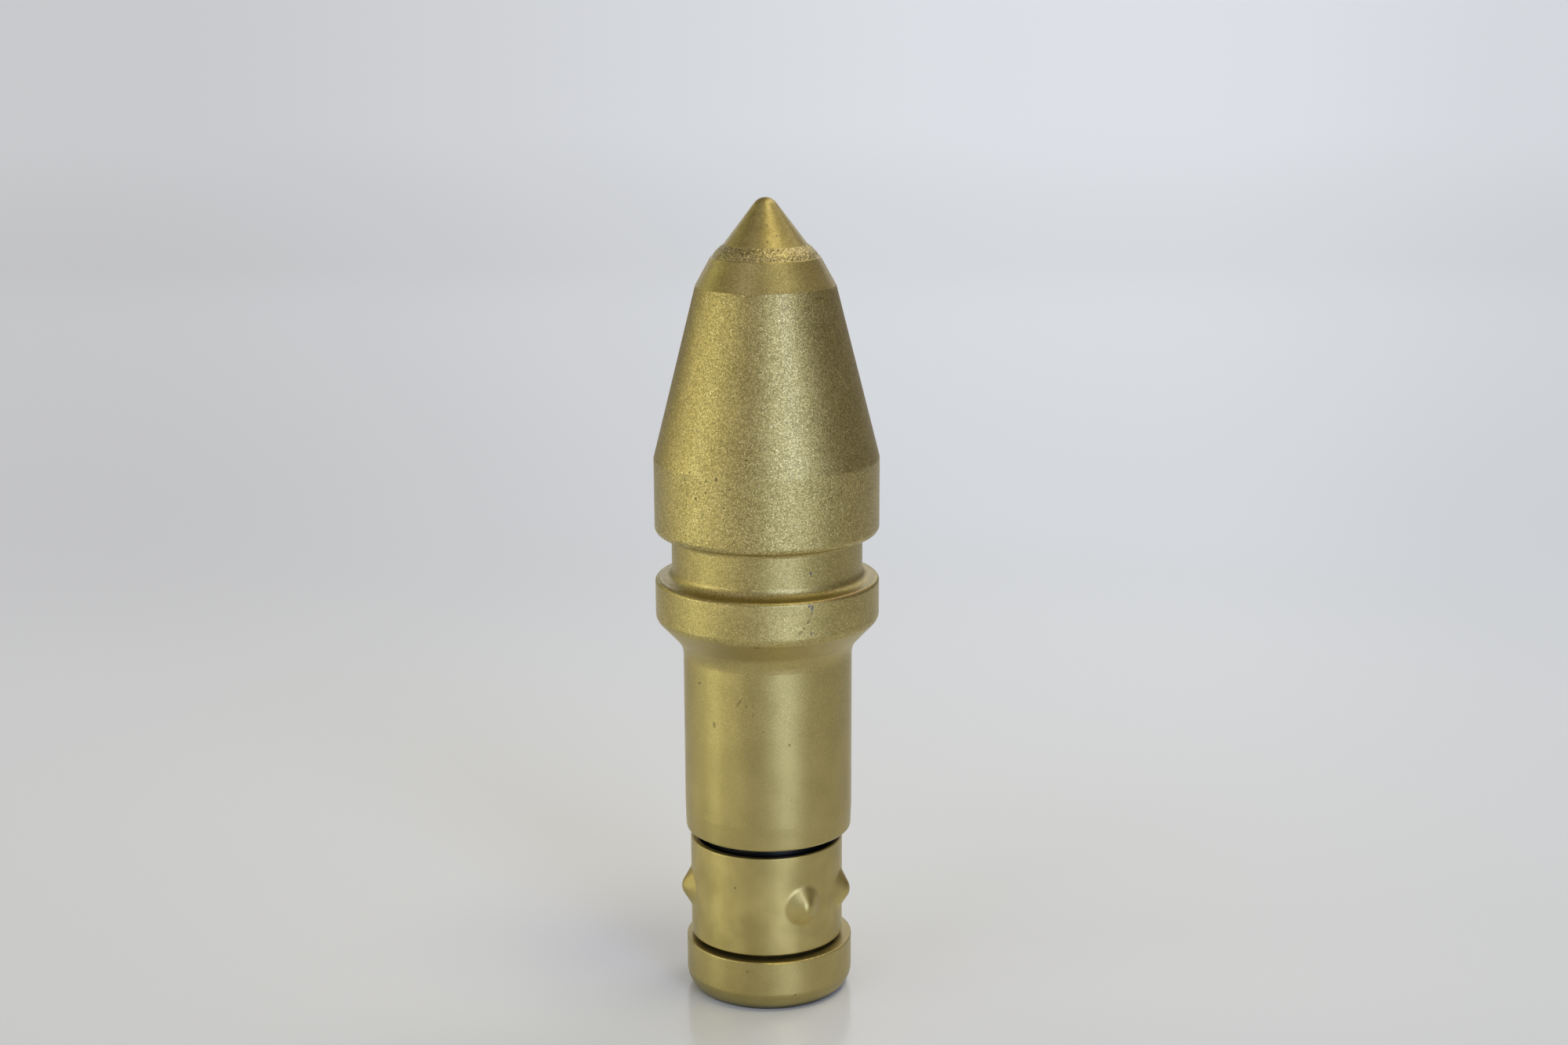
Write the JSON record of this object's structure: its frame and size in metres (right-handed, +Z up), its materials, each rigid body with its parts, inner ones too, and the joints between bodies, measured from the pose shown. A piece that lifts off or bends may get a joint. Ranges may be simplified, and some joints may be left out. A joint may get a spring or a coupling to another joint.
{
  "type": "trencher tooth",
  "caption": "Round-shank trencher tooth: a carbide point brazed into a tapered steel head, on a shank whose split sleeve snaps into its holder.",
  "frame": {"origin": "centre of the flat end of the shank's button, on which the tooth stands", "axes": "+Z up along the tooth's own axis, towards the carbide point; the pictured side faces -Y"},
  "size_m": [0.0396, 0.0396, 0.1434],
  "materials": {
    "gold_paint": "metallic gold spray paint, hammered and grainy on the head, satin on the shank",
    "painted_carbide": "metallic gold spray paint over smooth sintered carbide",
    "braze": "rough granular braze bead under metallic gold paint",
    "painted_sleeve": "satin metallic gold paint over spring steel"
  },
  "bodies": {
    "tooth": {"tooth_body": "gold_paint", "carbide_tip": "painted_carbide", "braze_seam": "braze"},
    "keeper": {"keeper_sleeve": "painted_sleeve"}
  },
  "joints": [
    {"name": "sleeve_spin", "type": "hinge", "parent": "tooth", "child": "keeper", "pos_m": [-0.0004, 0, 0.01947], "axis": [0, 0, 1], "continuous": true}
  ]
}
